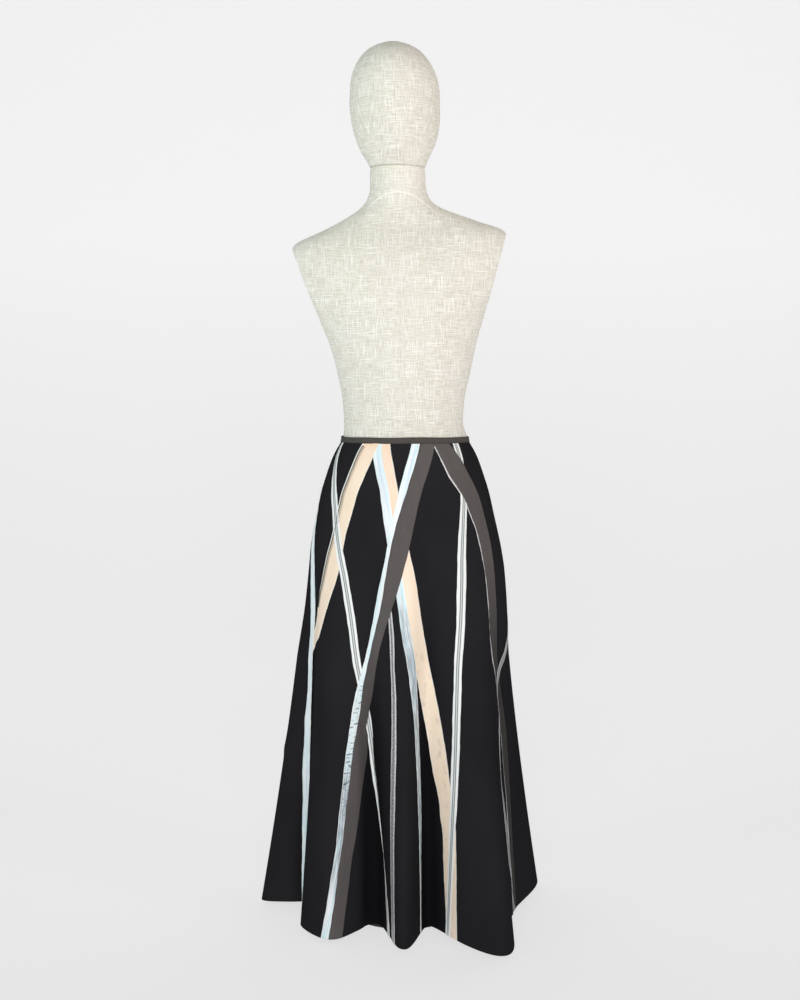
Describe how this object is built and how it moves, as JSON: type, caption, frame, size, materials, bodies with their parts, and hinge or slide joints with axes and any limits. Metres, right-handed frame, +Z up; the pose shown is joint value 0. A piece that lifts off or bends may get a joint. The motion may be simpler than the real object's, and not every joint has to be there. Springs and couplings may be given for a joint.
{
  "type": "maxi skirt on dress form",
  "caption": "Long black flared skirt with a narrow waistband and sewn-on ribbons falling to the hem, worn on a limbless linen dress form on a round stand.",
  "frame": {"origin": "centre of the stand's underside, on the floor", "axes": "+Z up. -Y is the side the form turns its back to, which the picture shows. +X is on the right when looking along +Y."},
  "size_m": [0.539, 0.497, 1.6107],
  "materials": {
    "black_crepe": "matt black crepe",
    "taupe_ribbon": "matt taupe ribbon",
    "peach_satin": "peach satin ribbon",
    "pale_blue_satin": "pale blue satin ribbon",
    "striped_ribbon": "white ribbon with a grey centre stripe",
    "silver_ribbon": "silver grey woven ribbon",
    "linen": "natural linen cover",
    "stand_metal": "black powder coat"
  },
  "bodies": {
    "root": {"skirt_back": "black_crepe", "skirt_front": "black_crepe", "waistband": "taupe_ribbon", "ribbon_silver_edging": "silver_ribbon", "ribbon_peach_right": "peach_satin", "ribbon_silver_centre": "silver_ribbon", "ribbon_blue_centre": "pale_blue_satin", "ribbon_peach_left": "peach_satin", "ribbon_blue_side": "pale_blue_satin", "ribbon_striped_left": "striped_ribbon", "ribbon_striped_right": "striped_ribbon", "ribbon_blue_left": "pale_blue_satin", "ribbon_taupe_left": "taupe_ribbon", "ribbon_taupe_right": "taupe_ribbon", "ribbon_silver_side": "silver_ribbon", "form_torso": "linen", "form_head": "linen", "form_flange": "stand_metal", "form_pole": "stand_metal", "form_collar": "stand_metal", "form_base": "stand_metal"}
  },
  "joints": []
}
